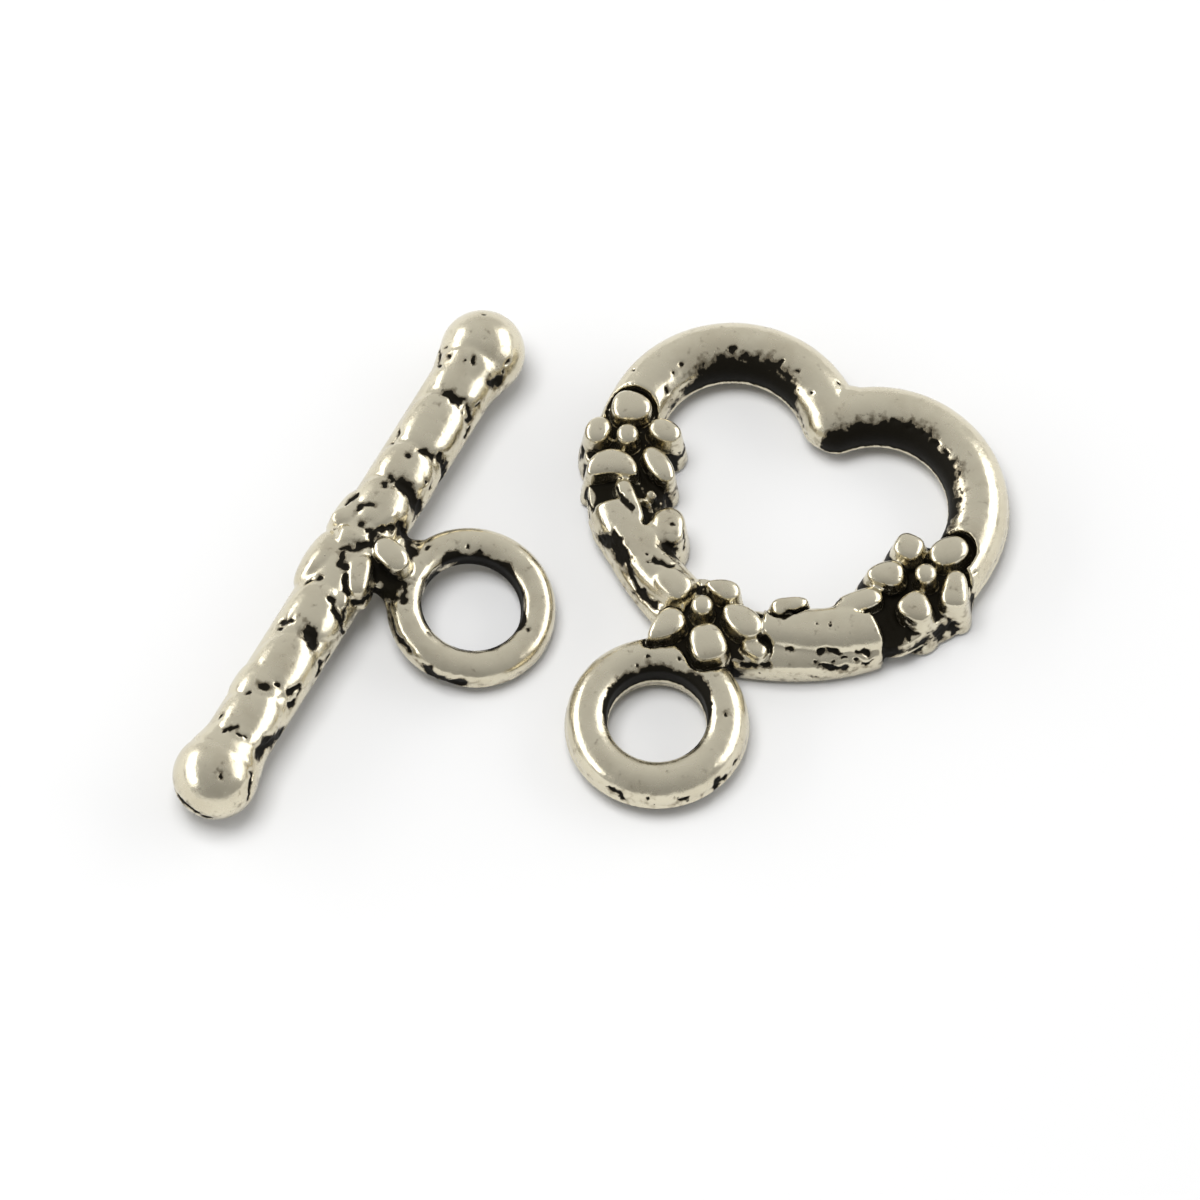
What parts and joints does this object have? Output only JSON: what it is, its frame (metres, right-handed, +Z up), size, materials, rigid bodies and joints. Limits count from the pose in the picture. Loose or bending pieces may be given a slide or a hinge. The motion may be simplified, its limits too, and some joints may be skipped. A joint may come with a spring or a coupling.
{
  "type": "toggle clasp",
  "caption": "Jewellery toggle clasp: a heart-shaped ring cast with flowers and leaves, and a ball-ended bar that passes through it, each with an eye for the strand's end.",
  "frame": {"origin": "middle of the bottom of the box around both halves, on the surface on which they lie", "axes": "+Z up from that surface, +Y along the heart's axis from its eye towards its cleft, +X from the bar towards the heart"},
  "size_m": [0.0222, 0.0262, 0.003],
  "materials": {
    "antique_silver": "antique silver plate, polished high spots over blackened recesses and pits"
  },
  "bodies": {
    "root": {"heart_ring": "antique_silver", "toggle_bar": "antique_silver"}
  },
  "joints": []
}
